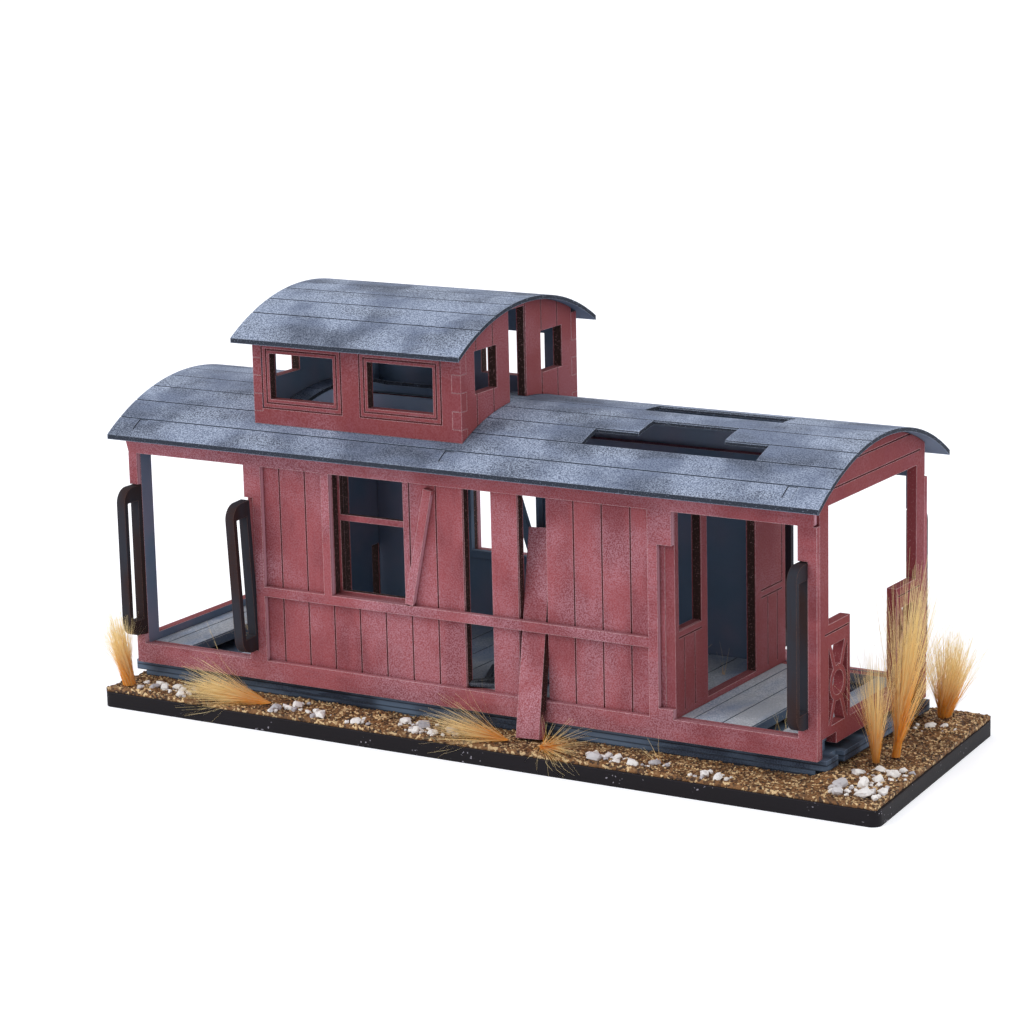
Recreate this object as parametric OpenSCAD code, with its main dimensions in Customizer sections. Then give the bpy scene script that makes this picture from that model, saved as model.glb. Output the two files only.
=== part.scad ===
// Derelict caboose with a roof lookout: a small model cut from sheet, on a scenic base.
// Millimetres. +X runs along the car to its railed end, -Y is the side with the window, +Z is up.
// The origin is on the underside of the base, at its middle.

/* [Base] */
// How far the base reaches past the left end of the sills
base_left = 1.5; // [1.4:0.1:10]
// How far the base reaches past the right end of the sills, along its front edge
base_right = 16.5; // [16:0.5:30]
// How far the base reaches out in front of the side frame
base_front = 10; // [9.5:0.5:20]
// How far the base reaches out behind the back side frame
base_back = 4.5; // [1.5:0.5:15]
// Thickness of the base board
base_t = 3; // [2:0.1:6]
// How much shorter the base is along its back edge
base_skew = 4.5; // [0:0.1:8]
// Corner radius of the base
base_r = 1.8; // [0.5:0.1:4]
// Depth of the gravel bed
gravel_t = 0.8; // [0.4:0.1:2]
// Margin of bare board left round the gravel
gravel_in = 0.5; // [0.2:0.1:3]

/* [Car] */
// Length over the sills
car_l = 152; // [140:1:185]
// Width over the side frames
car_w = 47; // [42:0.5:58]
// Thickness of the cut sheet for walls, ends and railings
sheet = 2; // [1.5:0.1:2.4]
// Thickness of the side frames, which lie over the wall sheet
skin = 1.2; // [0.8:0.1:2]
// Length of the open platform at the left end
platform_left = 28; // [24:0.5:34]
// Length of the open platform at the right end
platform_right = 29.2; // [24:0.5:36]
// Pitch of the planks in the walls and the floor
plank = 6; // [5:0.1:7]
// Width and depth of a line scored between two planks
score = 0.3; // [0.2:0.05:0.5]

/* [Chassis] */
// Thickness of each of the two chassis boards
chassis_t = 2; // [1.5:0.1:3]
// How far the upper board stands out past each end of the sills
buffer_out = 1.3; // [0.5:0.1:3]
// How far the lower board stops short of each end of the sills
chassis_in = 1; // [0.5:0.1:4]
// Width of the bearers between the chassis and the floor
bearer_w = 4; // [2:0.5:8]
// From the centre line to the middle of each slot in the upper board's ends
slot_y = 16.4; // [12:0.1:18]
// Width of those slots
slot_w = 2.4; // [1.5:0.1:4]
// How far those slots reach in from the end of the sills
slot_in = 0.4; // [0.2:0.1:2]

/* [Side frames] */
// Height of the sill
sill_h = 4; // [3:0.1:6]
// Height of the clear opening between sill and fascia
side_h = 39.1; // [34:0.5:48]
// Height of the side wall under the belt rail, from the sill
belt_z = 13.1; // [10:0.1:18]
// Height of the belt rail
belt_h = 1.9; // [1:0.1:3]
// Width of the thin posts
post_w = 2; // [1.4:0.1:2.6]
// Width of the stubs that hold a grab rail above and below
stub_w = 2; // [1.4:0.1:3]
// Width of those stubs at the right corner of the cabin
corner_w = 3; // [2.5:0.1:4]
// Height of the lower stub above the sill
stub_low = 1.8; // [1:0.1:4]
// Height of the upper stub below the fascia
stub_high = 6.4; // [4:0.1:9]

/* [Walls] */
// Height of the wall sheets' top edge above the underside of the fascia
wall_up = 1.65; // [1.2:0.05:3]
// Left edge of the window from the car's left end
window_x = 48; // [44:0.5:52]
// Width of the window
window_w = 16.2; // [12:0.1:17]
// Left edge of the back wall's window
back_window_x = 53; // [44:0.5:56]
// Depth of the lining frame behind a window
lining_t = 1.2; // [0.8:0.1:2]
// Width of the lining frame's members
lining_w = 1.2; // [0.8:0.1:2]
// Height of the sash bar above the window's bottom edge
sash_bar_z = 14.4; // [8:0.1:20]
// Number of whole planks from the left corner to the first missing plank
first_gap = 7; // [6:1:8]
// Number of whole planks left standing between the missing planks
gap_step = 2; // [2:1:3]

/* [Ends] */
// Half the width of the doorway
door_half = 9.8; // [7:0.1:10.5]
// Height of the door's threshold strip
threshold_h = 1.1; // [0.6:0.1:2]
// Width of the stile between doorway and end window
door_stile = 2.3; // [1.5:0.1:4]
// Width of the end window
end_window_w = 8.8; // [6:0.1:9]
// Height of the end window's bottom edge above the floor
end_window_z = 16.4; // [12:0.1:22]
// Height of the head over the doorway and end windows, above the floor
end_head_z = 38.6; // [32:0.1:38.8]
// Width of the end frame's corner posts
end_post = 3.5; // [2.5:0.1:5]
// Height of the end beam over the floor
end_beam_up = 1.5; // [0.8:0.1:3]
// From the centre line to the middle of each notch in the end beam
beam_notch_y = 18.6; // [12:0.1:18.8]
// Width of the notches in the end beam
beam_notch_w = 5.8; // [4:0.1:6]
// Height of the notches in the end beam
beam_notch_h = 3.6; // [2:0.1:3.8]
// Gap under the end beam between its notches
beam_under = 1.5; // [0.5:0.1:3]
// Height of the railings over the floor
rail_h = 20.5; // [15:0.5:26]
// Height of the railings' top board
rail_cap = 4.1; // [2.5:0.1:6]
// Half the width of the way out between the railings
rail_gap_half = 10; // [7:0.1:12]
// Outer radius of the ring in each railing
ring_r = 3.4; // [2.5:0.1:3.8]
// Radius of the hole in the ring
ring_hole_r = 2.3; // [1.5:0.1:2.8]
// Width of the slanting bars in the railings
rail_bar = 1.1; // [0.8:0.1:1.6]

/* [Grab rails] */
// How far a grab rail stands out from the side
grab_out = 4.5; // [3:0.1:6]
// Width of a grab rail's outer bar
grab_bar = 1.1; // [0.8:0.1:1.6]
// Outer corner radius of a grab rail
grab_r = 3; // [1.5:0.1:3.2]
// Clearance of a grab rail in its notch, above and below
grab_clear = 0.25; // [0.1:0.05:0.6]
// Lean of the badly glued grab rail, in degrees
grab_lean = 3.5; // [0:0.5:5]

/* [Roof] */
// From the edge of the eaves to the middle of each tab on the ribs
tab_in = 3.1; // [2.5:0.1:3.1]
// Width of each tab on the ribs
tab_w = 2.8; // [1.5:0.1:3.5]
// From each end of the sills to the middle of the rib there
rib_in = 4.5; // [4:0.1:8]
// Height of the ribs that carry the roof
rib_h = 3.2; // [2:0.1:5]
// How far the roof's eaves reach out past the side frames
eaves_out = 4.5; // [3:0.1:6]
// Rise of the roof from the eaves to the crest
roof_rise = 8.7; // [6:0.1:11]
// Height of the crest above the top of the fascia strip's lower edge
roof_up = 13.1; // [12:0.1:16]
// Thickness of the roof skin
roof_t = 0.8; // [0.6:0.1:1.5]
// Overhang of the roof past the left end of the sills
roof_out_left = 1.5; // [0.5:0.1:3]
// Overhang of the roof past the right end of the sills
roof_out_right = 2.6; // [0.5:0.1:5]
// Clearance under the roof skin and round its tabs
fit = 0.05; // [0.02:0.01:0.15]

/* [Lookout] */
// Left edge of the lookout's walls
cup_x = 30; // [27:0.5:34]
// Length of the lookout's walls
cup_l = 47.5; // [44:0.5:52]
// Width of the lookout over its walls
cup_w = 43.2; // [38:0.5:46]
// Height of the lookout's crest above the main crest
cup_up = 19.7; // [16:0.1:24]
// How far the lookout's eaves reach out past its walls
cup_eaves_out = 4; // [2:0.1:6]
// Rise of the lookout's roof
cup_rise = 7.4; // [5:0.1:9]
// Overhang of the lookout's roof past its end walls
cup_out = 2.2; // [1:0.1:4]
// Width of the roof left inside the lookout's walls
hatch_in = 6; // [3:0.5:9]
// Width of each window in the lookout's sides
cup_win_w = 14.8; // [10:0.1:16]
// Height of each window in the lookout's sides
cup_win_h = 9; // [6:0.1:10]
// Width of the windows in the lookout's ends
cup_end_win = 8; // [6:0.1:9]
// Height of the windows in the lookout's ends
cup_end_h = 8.2; // [6:0.1:9]
// From the centre line to the middle of the windows in the lookout's ends
cup_end_y = 12.2; // [10:0.1:13]
// Height of the tabs that join the lookout's walls
cup_tab_h = 3.5; // [2:0.1:5]

/* [Loose pieces] */
// How much narrower the fallen plank is than its gap
loose_less = 1; // [1:0.1:2]
// Length of the fallen plank
loose_l = 39.6; // [34:0.5:42]
// How far the fallen plank's foot stands right of its gap's left edge
loose_in = 1.6; // [1:0.1:1.6]
// Twist of the fallen plank along the wall, in degrees
loose_twist = 3; // [2:0.1:3]
// Width of the loose battens
batten_w = 1.8; // [1.2:0.1:2.2]
// Lean of the front batten, in degrees
batten_lean = 12; // [8:0.5:14]
// Length of the front batten
batten_l = 23.4; // [16:0.1:24]
// Lean of the back batten, in degrees
back_batten_lean = 18; // [10:1:20]
// Length of the back batten
back_batten_l = 22; // [14:0.5:23]

/* [Hidden] */
$fn = 64;
e = 0.01;

base_l = base_left + car_l + base_right;
base_w = base_front + car_w + base_back;

// heights, from the underside of the base
z_ch = base_t;                          // chassis on the base
z_up = z_ch + chassis_t;                // upper board
z_sill = z_up + chassis_t;              // underside of the sills
z_top = z_sill + sill_h;                // top of the sills
z_floor = z_top - 0.2;                  // top of the floor
z_fas = z_top + side_h;                 // underside of the fascia
z_wall = z_fas + wall_up;                // top edge of the wall sheets
z_crest = z_fas + roof_up;              // crest of the roof
z_cup = z_crest + cup_up;               // crest of the lookout's roof
z_belt = z_top + belt_z;
ground = base_t + gravel_t;              // top of the gravel
z_win = z_belt + belt_h;                // bottom edge of the side windows

// widths
y_out = car_w / 2;                      // outer face of the side frames
y_core = y_out - skin;                  // outer face of the wall sheets
y_in = y_core - sheet;                  // inner face of the wall sheets

// lengths
x_l = platform_left;                    // outer face of the left end wall
x_r = car_l - platform_right;           // outer face of the right end wall
x_frame_r = car_l - sheet;              // inner face of the right end frame
x_post_l = x_l + sheet;                 // left edge of the cabin's left post, past a grab rail's notch
x_post_r = x_r - corner_w;              // right edge of the cabin's right post
plank_0 = x_l + 1.65;                   // first scored line of the side walls
floor_0 = -0.7;                         // a line of the floor's planks
gap_1 = plank_0 + (first_gap + 1) * plank;
gap_2 = gap_1 + gap_step * plank;
notch_z0 = z_top + stub_low;
notch_z1 = z_fas - stub_high;
grab_h = notch_z1 - notch_z0 - 2 * grab_clear;

// roofs are parts of cylinders
function arc_r(half, rise) = (half * half + rise * rise) / (2 * rise);
function arc_z(y, r, crest) = crest - r + sqrt(r * r - y * y);
// height of a roof skin's underside at y
function soffit(y, r, crest) = arc_z(y, r - roof_t, crest - roof_t) - fit;
roof_half = y_out + eaves_out;
tab_y = roof_half - tab_in;
cup_roof_half = cup_w / 2 + cup_eaves_out;
roof_r = arc_r(roof_half, roof_rise);
cup_r = arc_r(cup_roof_half, cup_rise);
roof_line_0 = -0.5;                     // a scored line near the crest, along the skin
cup_y = cup_w / 2;
cup_x1 = cup_x + cup_l;
cup_sill = arc_z(cup_y, roof_r, z_crest) + fit;   // underside of the lookout's side walls
cup_eave = soffit(cup_y, cup_r, z_cup);
cup_win_z = cup_sill + 5;
cup_win_1 = cup_x + 3.9;
cup_win_2 = cup_win_1 + cup_win_w + 7.8;
cup_tab_z = [cup_sill + 2.5, cup_sill + 9.5];    // undersides of the tabs
cup_line_0 = -3.9;                      // a scored line of the lookout's end walls

// the car stands on the base: x from its left sill end, y from its centre line
car_at = [base_left - base_l / 2, base_front + car_w / 2 - base_w / 2];
module car() translate(car_at) children();

// a sheet standing along the car, from y0 towards +Y
module along(y0, t) translate([0, y0 + t, 0]) rotate([90, 0, 0]) linear_extrude(t) children();
// a sheet standing across the car, from x0 towards +X
module across(x0, t) translate([x0, 0, 0]) rotate([90, 0, 90]) linear_extrude(t) children();
// a rectangle by two corners
module rect(x0, y0, x1, y1) translate([x0, y0]) square([x1 - x0, y1 - y0]);
// the area under an arched roof
module under(r, crest, half) intersection() {
    union() {
        translate([0, crest - r]) circle(r, $fn = 200);
        rect(-half, 0, half, crest - r * 0.5);
    }
    rect(-half, 0, half, crest + 1);
}
// scored lines are cut with a thin bar
module bar(x0, y0, z0, x1, y1, z1) translate([x0, y0, z0]) cube([x1 - x0, y1 - y0, z1 - z0]);

module base_outline(inset) {
    hull() {
        r = base_r;
        for (c = [[-base_l / 2, -base_w / 2, 1, 1], [base_l / 2, -base_w / 2, -1, 1],
                  [base_l / 2 - base_skew, base_w / 2, -1, -1], [-base_l / 2, base_w / 2, 1, -1]])
            translate([c[0] + c[2] * (r + inset), c[1] + c[3] * (r + inset)]) circle(r, $fn = 32);
    }
}

module base_board() color("#2c2a30") linear_extrude(base_t) base_outline(0);

module gravel_bed() color("#8a6a4a") translate([0, 0, base_t]) linear_extrude(gravel_t) difference() {
    base_outline(gravel_in);
    translate(car_at)
        rect(chassis_in - fit, -y_core - fit, car_l - chassis_in + fit, y_core + fit);
}

// a chassis board, with a slot each side of the coupling at both ends
module chassis_board(x0, x1, z0, notch) difference() {
    bar(x0, -y_core, z0, x1, y_core, z0 + chassis_t);
    reach = buffer_out + slot_in;
    if (notch) for (s = [-1, 1], x = [x0 - e, x1 - reach])
        bar(x, s * slot_y - slot_w / 2, z0 - e, x + reach + e, s * slot_y + slot_w / 2, z0 + chassis_t + e);
}
module lower_chassis() color("#2f3848") car() chassis_board(chassis_in, car_l - chassis_in, z_ch, false);
module upper_chassis() color("#3c4a60") car() chassis_board(-buffer_out, car_l + buffer_out, z_up, true);

// bearers carry the floor over the upper board
module floor_bearers() color("#2f3848") car() for (y = [-y_in + fit, -bearer_w / 2, y_in - fit - bearer_w])
    bar(sheet + fit, y, z_sill, x_frame_r - fit, y + bearer_w, z_floor - sheet);

// the floor sheet, with planks missing on both platforms
module floor_deck() color("#8f98a6") car() difference() {
    bar(sheet + fit, -y_in + fit, z_floor - sheet, x_frame_r - fit, y_in - fit, z_floor);
    for (g = [[2, 4], [23, 24]])
        bar(floor_0 + g[0] * plank, -y_in, z_floor - sheet - e, floor_0 + g[1] * plank, y_in, z_floor + e);
    for (x = [floor_0 + plank : plank : car_l - 3])
        bar(x - score / 2, -y_in, z_floor - score, x + score / 2, y_in, z_floor + e);
}

// the wall sheet of one side: a strip behind the sill, the planked wall, and a strip behind the fascia
module wall_area(win_x) difference() {
    union() {
        rect(sheet + fit, z_sill, x_frame_r - fit, z_floor);
        rect(x_l + sheet + fit, z_floor - e, x_r - sheet - fit, z_wall);
        rect(sheet + fit, z_fas + 0.4, x_frame_r - fit, z_wall);
    }
    rect(win_x, z_win, win_x + window_w, z_fas + 0.4);
}
module scored_wall(y0, face, win_x) difference() {
    along(y0, sheet) wall_area(win_x);
    y_s = face < 0 ? y0 - e : y0 + sheet - score;
    for (x = [plank_0 : plank : x_r - 2])
        bar(x - score / 2, y_s, z_floor, x + score / 2, y_s + score + e, z_fas);
}
module front_wall() color("#8c4a4c") car() difference() {
    scored_wall(-y_core, -1, window_x);
    for (x = [gap_1, gap_2]) bar(x, -y_core - 1, z_floor, x + plank, -y_in + 1, z_fas + 0.4);
}
module back_wall() color("#8c4a4c") car() scored_wall(y_in, 1, back_window_x);

// the side frame over the wall sheet: sill, fascia, posts, stubs and belt rail
module side_frame_area(win_x) {
    rect(0, z_sill, car_l, z_top);
    polygon([[-0.5, z_fas + 2.2], [0.1, z_fas], [car_l - 0.8, z_fas], [car_l - 0.5, z_fas + 0.3],
             [car_l - 0.5, soffit(y_out, roof_r, z_crest)], [-0.5, soffit(y_out, roof_r, z_crest)]]);
    x_end = car_l - post_w + 0.2;
    rect(x_post_l, z_top - e, x_post_l + post_w, z_fas + e);
    rect(x_post_r - post_w, z_top - e, x_post_r, z_fas + e);
    rect(x_end, z_top - e, car_l, z_fas + e);
    for (s = [[0, post_w], [x_l, x_post_l + e], [x_post_r - e, x_r], [x_end - stub_w, x_end + e]]) {
        rect(s[0], z_top - e, s[1], notch_z0);
        rect(s[0], notch_z1, s[1], z_fas + e);
    }
    rect(x_post_l + post_w - e, z_belt, x_post_r - post_w + e, z_belt + belt_h);
    rect(win_x - 1.8, z_win - e, win_x, z_fas + e);
}
module front_side_frame() color("#a3606a") car() along(-y_out, skin) side_frame_area(window_x);
module back_side_frame() color("#a3606a") car() along(y_core, skin) side_frame_area(back_window_x);

// a lining frame behind a window, with its sash bar
module lining(y0, win_x) along(y0, lining_t) difference() {
    rect(win_x - lining_w, z_win - lining_w, win_x + window_w + lining_w, z_fas + 0.3);
    rect(win_x + 0.4, z_win + 0.4, win_x + window_w - 0.4, z_win + sash_bar_z);
    rect(win_x + 0.4, z_win + sash_bar_z + 1.2, win_x + window_w - 0.4, z_fas - 0.6);
}
module front_window_lining() color("#5a4030") car() lining(-y_in, window_x);
module back_window_lining() color("#2f3848") car() lining(y_in - lining_t, back_window_x);

// an end wall of the cabin: doorway in the middle, window on the front side, boards on the back side
module end_wall(x0, face, slot) difference() {
    across(x0, sheet) difference() {
        union() {
            rect(-y_core, z_floor, y_core, z_fas + 0.3);
            rect(-y_in + fit, z_fas, y_in - fit, z_wall);
        }
        rect(-door_half, z_floor + threshold_h, door_half, z_floor + end_head_z);
        translate([-door_half - door_stile - end_window_w, z_floor + end_window_z])
            square([end_window_w, end_head_z - end_window_z]);
        if (slot) rect(y_in - 2.7, z_floor + 2, y_in - 0.1, z_floor + 14.4);
    }
    x_s = face > 0 ? x0 + sheet - score : x0 - e;
    z_s = z_floor + end_window_z;
    panel = door_half + door_stile + end_window_w / 2;   // middle of the panel beside the doorway
    for (s = [-1, 1], y = [panel - 1.7, panel + 2.3])
        bar(x_s, s * y - score / 2, z_floor + threshold_h, x_s + score + e, s * y + score / 2, z_s - 1.6);
    for (s = [-1, 1], z = [-1.2, 0.2])
        translate([x_s, s * panel - end_window_w / 2, z_s + z - score]) cube([score + e, end_window_w, score]);
    bar(x_s, y_in + 0.4, z_s, x_s + score + e, y_in + 0.4 + score, z_floor + end_head_z);
}
module left_end_wall() color("#8a4038") car() end_wall(x_l, -1, true);
module right_end_wall() color("#8a4038") car() end_wall(x_r - sheet, 1, false);

// one railing: stile, top board, and a ring held by four slanting bars
module railing() {
    y0 = rail_gap_half;
    y1 = y_core - end_post + e;
    z0 = z_floor + end_beam_up - e;
    z1 = z_floor + rail_h;
    zc = (z0 + z1 - rail_cap) / 2;
    yc = (y0 + y1 + rail_bar) / 2;
    rect(y0, z0, y0 + rail_bar, z1);
    difference() {
        rect(y0, z1 - rail_cap, y1, z1);
        rect(y0 - e, z1 - 0.6, y0 + 0.6, z1 + e);
    }
    difference() {
        union() {
            translate([yc, zc]) circle(ring_r);
            intersection() {
                rect(y0, z0, y1, z1 - rail_cap + e);
                for (s = [-1, 1]) translate([yc, zc]) rotate(s * 24) square([rail_bar, 60], center = true);
            }
        }
        translate([yc, zc]) circle(ring_hole_r);
    }
}
// an end frame: corner posts, end beam with its notches, and the arched board under the roof
module end_frame_area(railed) {
    difference() {
        intersection() {
            under(roof_r - roof_t - 0.1, z_crest - roof_t - 0.1, y_core);
            difference() {
                rect(-y_core, z_sill, y_core, z_crest);
                rect(-y_core + end_post, z_floor + end_beam_up, y_core - end_post, z_fas + 3);
            }
        }
        notch_in = beam_notch_y - beam_notch_w / 2;
        for (s = [0, 1]) mirror([s, 0])
            rect(notch_in, z_sill - e, notch_in + beam_notch_w, z_sill + beam_notch_h);
        rect(-notch_in - e, z_sill - e, notch_in + e, z_sill + beam_under);
    }
    if (railed) for (s = [0, 1]) mirror([s, 0]) railing();
}
module left_end_frame() color("#8c4a4c") car() across(0, sheet) end_frame_area(false);
module right_end_frame() color("#8c4a4c") car() difference() {
    across(x_frame_r, sheet) end_frame_area(true);
    for (z = [z_fas + 5.6, z_fas + 9.4])
        bar(car_l - score, -y_in, z, car_l + e, y_in, z + score);
    z_s = z_floor + rail_h - 1.8;
    for (s = [0, 1]) mirror([0, s, 0])
        bar(car_l - score, rail_gap_half + 0.6, z_s, car_l + e, y_in, z_s + score);
}

// three arched ribs carry the roof, each with its ends on the wall sheets
rib_x = [rib_in, car_l / 2, car_l - rib_in];
module roof_ribs() color("#3c4a60") car() for (x = rib_x)
    across(x - sheet / 2, sheet) difference() {
        under(roof_r - roof_t - fit, z_crest - roof_t - fit, y_core - fit);
        translate([0, -rib_h]) under(roof_r - roof_t, z_crest - roof_t, y_in - 2.4);
        rect(-y_core, 0, y_core, z_fas + 1);
        for (s = [0, 1]) mirror([s, 0]) rect(y_in - fit, 0, y_out, z_wall + fit);
    }

// roof skin
module skin_area(r, crest, half) intersection() {
    difference() {
        translate([0, crest - r]) circle(r, $fn = 200);
        translate([0, crest - r]) circle(r - roof_t, $fn = 200);
    }
    rect(-half, crest - r * 0.6, half, crest + 1);
}
// a score along a curved skin, at s from the crest along the curve
module roof_score(r, crest, s, x0, x1) translate([0, 0, crest - r]) rotate([-s / r * 180 / PI, 0, 0])
    bar(x0, -score / 2, r - 0.25, x1, score / 2, r + 1);
module roof_tab_slots(grow) for (x = rib_x, s = [-1, 1])
    translate([x, s * tab_y, (z_fas + z_crest) / 2])
        cube([sheet + 2 * grow, tab_w + 2 * grow, z_crest - z_fas], center = true);
// missing roof boards; [from x, to x, from line, to line]
roof_holes = [[101.2, 137.3, -3, -2], [110.2, 128.1, -3, -1], [104.8, 133.8, 0, 1]];
// y of the scored line number i
function line_y(i) = roof_r * sin((roof_line_0 + i * plank) / roof_r * 180 / PI);
module main_roof() color("#4a5166") car() difference() {
    across(-roof_out_left, car_l + roof_out_left + roof_out_right) skin_area(roof_r, z_crest, roof_half);
    for (i = [-4 : 4])
        roof_score(roof_r, z_crest, roof_line_0 + i * plank, -roof_out_left - 1, car_l + roof_out_right + 1);
    for (h = roof_holes) bar(h[0], line_y(h[2]), z_fas, h[1], line_y(h[3]), z_crest + 1);
    bar(cup_x + hatch_in, -cup_y + hatch_in, z_fas, cup_x1 - hatch_in, cup_y - hatch_in, z_crest + 1);
    roof_tab_slots(fit);
}
// the ribs' tabs show as small plugs, flush in the skin
module roof_tabs() color("#3c4250") car() intersection() {
    across(0, car_l) skin_area(roof_r - 0.15, z_crest - 0.15, roof_half);
    roof_tab_slots(0);
}

// the lookout's side walls, each with two windows in scored frames
module lookout_side(y0, face) difference() {
    along(y0, sheet) difference() {
        rect(cup_x, cup_sill - 0.3, cup_x1, cup_eave);
        for (x = [cup_win_1, cup_win_2]) rect(x, cup_win_z, x + cup_win_w, cup_win_z + cup_win_h);
        for (x = [cup_x - e, cup_x1 - sheet], z = cup_tab_z) rect(x, z, x + sheet + e, z + cup_tab_h);
    }
    across(cup_x - 1, cup_l + 2) translate([0, z_crest - roof_r]) circle(roof_r + fit, $fn = 200);
    y_s = face < 0 ? y0 - e : y0 + sheet - score;
    for (x = [cup_win_1, cup_win_2], m = [0.9, 1.9]) difference() {
        n = m - score;
        bar(x - m, y_s, cup_win_z - m, x + cup_win_w + m, y_s + score + e, cup_win_z + cup_win_h + m);
        bar(x - n, y_s - 1, cup_win_z - n, x + cup_win_w + n, y_s + 2, cup_win_z + cup_win_h + n);
    }
}
module lookout_front_wall() color("#8c4a4c") car() lookout_side(-cup_y, -1);
module lookout_back_wall() color("#8c4a4c") car() lookout_side(cup_y - sheet, 1);

// the lookout's end walls stand on the roof, between its side walls, with one plank gone from the right one
module lookout_end(x0, face, gap) difference() {
    across(x0, sheet) difference() {
        intersection() {
            under(cup_r - roof_t - fit, z_cup - roof_t - fit, cup_y);
            union() {
                rect(-cup_y + sheet + fit, z_fas, cup_y - sheet - fit, z_cup);
                for (z = cup_tab_z) rect(-cup_y, z + fit, cup_y, z + cup_tab_h - fit);
            }
        }
        translate([0, z_crest - roof_r]) circle(roof_r + fit, $fn = 200);
        for (s = [-1, 1]) translate([s * cup_end_y - 0.4, z_crest + 3.6 + cup_end_h / 2])
            square([cup_end_win, cup_end_h], center = true);
        if (gap) rect(cup_line_0, z_crest - 1, cup_line_0 + plank, z_cup - roof_t - 1.2);
    }
    x_s = face > 0 ? x0 + sheet - score : x0 - e;
    for (y = [cup_line_0 - 2 * plank : plank : cup_line_0 + 3 * plank])
        bar(x_s, y - score / 2, z_fas, x_s + score + e, y + score / 2, z_cup);
}
module lookout_left_wall() color("#8c4a4c") car() lookout_end(cup_x, -1, false);
module lookout_right_wall() color("#8c4a4c") car() lookout_end(cup_x1 - sheet, 1, true);

module lookout_roof() color("#4a5166") car() difference() {
    across(cup_x - cup_out, cup_l + 2 * cup_out) skin_area(cup_r, z_cup, cup_roof_half);
    for (i = [-3 : 4])
        roof_score(cup_r, z_cup, roof_line_0 + i * plank, cup_x - cup_out - 1, cup_x1 + cup_out + 1);
}

// a grab rail: a plate with rounded outer corners and a long slot, standing across the side
module grab_plate() difference() {
    intersection() {
        union() {
            rect(-grab_out, grab_r, skin - fit, grab_h - grab_r);
            rect(-grab_out + grab_r, 0, skin - fit, grab_h);
            for (z = [grab_r, grab_h - grab_r]) translate([-grab_out + grab_r, z]) circle(grab_r);
        }
        rect(-grab_out, 0, skin - fit, grab_h);
    }
    rect(-grab_out + grab_bar, 3, 0, grab_h - 3);
}
// x0 is the plate's left face, side is -1 at the front
module grab_rail(x0, side, lean)
    translate([x0, side * y_out, notch_z0 + grab_clear]) mirror([0, side > 0 ? 1 : 0, 0])
        rotate([lean, 0, 0]) across(0, sheet - fit) grab_plate();
x_grab_r = car_l - post_w + 0.2 - sheet;
module front_left_grab_rail() color("#2a2a30") car() grab_rail(0, -1, 0);
module front_right_grab_rail() color("#2a2a30") car() grab_rail(x_grab_r + fit, -1, 0);
module front_cabin_grab_rail() color("#2a2a30") car() translate([0, -0.35, 0]) grab_rail(x_l, -1, grab_lean);
module back_left_grab_rail() color("#2a2a30") car() grab_rail(0, 1, 0);
module back_right_grab_rail() color("#2a2a30") car() grab_rail(x_grab_r + fit, 1, 0);
module back_cabin_grab_rails() color("#2a2a30") car() for (x = [x_l, x_post_r + fit]) grab_rail(x, 1, 0);

// the plank out of the second gap: foot on the ground, over the sill and in behind the belt rail
// It bears on the sill's outer edge with its back and on the belt rail with its face.
loose_w = plank - loose_less;
loose_lean = asin(sheet / norm([belt_z, skin + 2 * fit])) + atan2(skin + 2 * fit, belt_z);
module fallen_plank() color("#8c4a4c") car()
    translate([gap_2 + loose_in, -y_out - fit - (z_top - ground) * tan(loose_lean), ground + fit])
        rotate([-loose_lean, 0, 0]) rotate([0, -loose_twist, 0])
            translate([0, -sheet, 0]) cube([loose_w, sheet, loose_l]);

// battens off the windows, leaning against the wall
module front_batten() color("#a3606a") car()
    translate([window_x + window_w + 0.6, -y_out, z_win + batten_w * sin(batten_lean) + fit])
        rotate([0, batten_lean, 0]) cube([batten_w, skin - fit, batten_l]);
module back_batten() color("#2f3848") car()
    translate([back_window_x + window_w - skin, y_in - lining_t - skin - fit, z_win])
        rotate([0, -back_batten_lean, 0]) cube([batten_w, skin, back_batten_l]);

// What lies on the ground is placed by x from an end of the sills and y from the front side frame's face.
module from_left() car() translate([0, -y_out]) children();
module from_right() car() translate([car_l, -y_out]) children();

// grass: each tuft is a plain cone, leaning; [x, y, height, radius at the tips, lean about x, lean about y]
front_tufts = [
    [3.3, -7.45, 11, 1.8, 0, -12], [36, -5.85, 3, 1.4, 0, -20],
    [90.5, -5.85, 4, 1.6, 0, -30], [98.5, -6.45, 3, 1.5, 0, 20]
];
right_tufts = [[5.8, 12.25, 34, 3, 0, 6], [7.5, 17.15, 28, 2.4, -7, 8], [5.1, 44.15, 12, 2, 0, 0]];
tuft_root_r = 0.9;
module tuft_set(table) for (t = table)
    translate([t[0], t[1], ground + 0.6]) rotate([t[4], t[5], 0])
        cylinder(h = t[2], r1 = tuft_root_r, r2 = t[3], $fn = 24);
module grass_tufts() color("#d8a848") {
    from_left() tuft_set(front_tufts);
    from_right() tuft_set(right_tufts);
}

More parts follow.
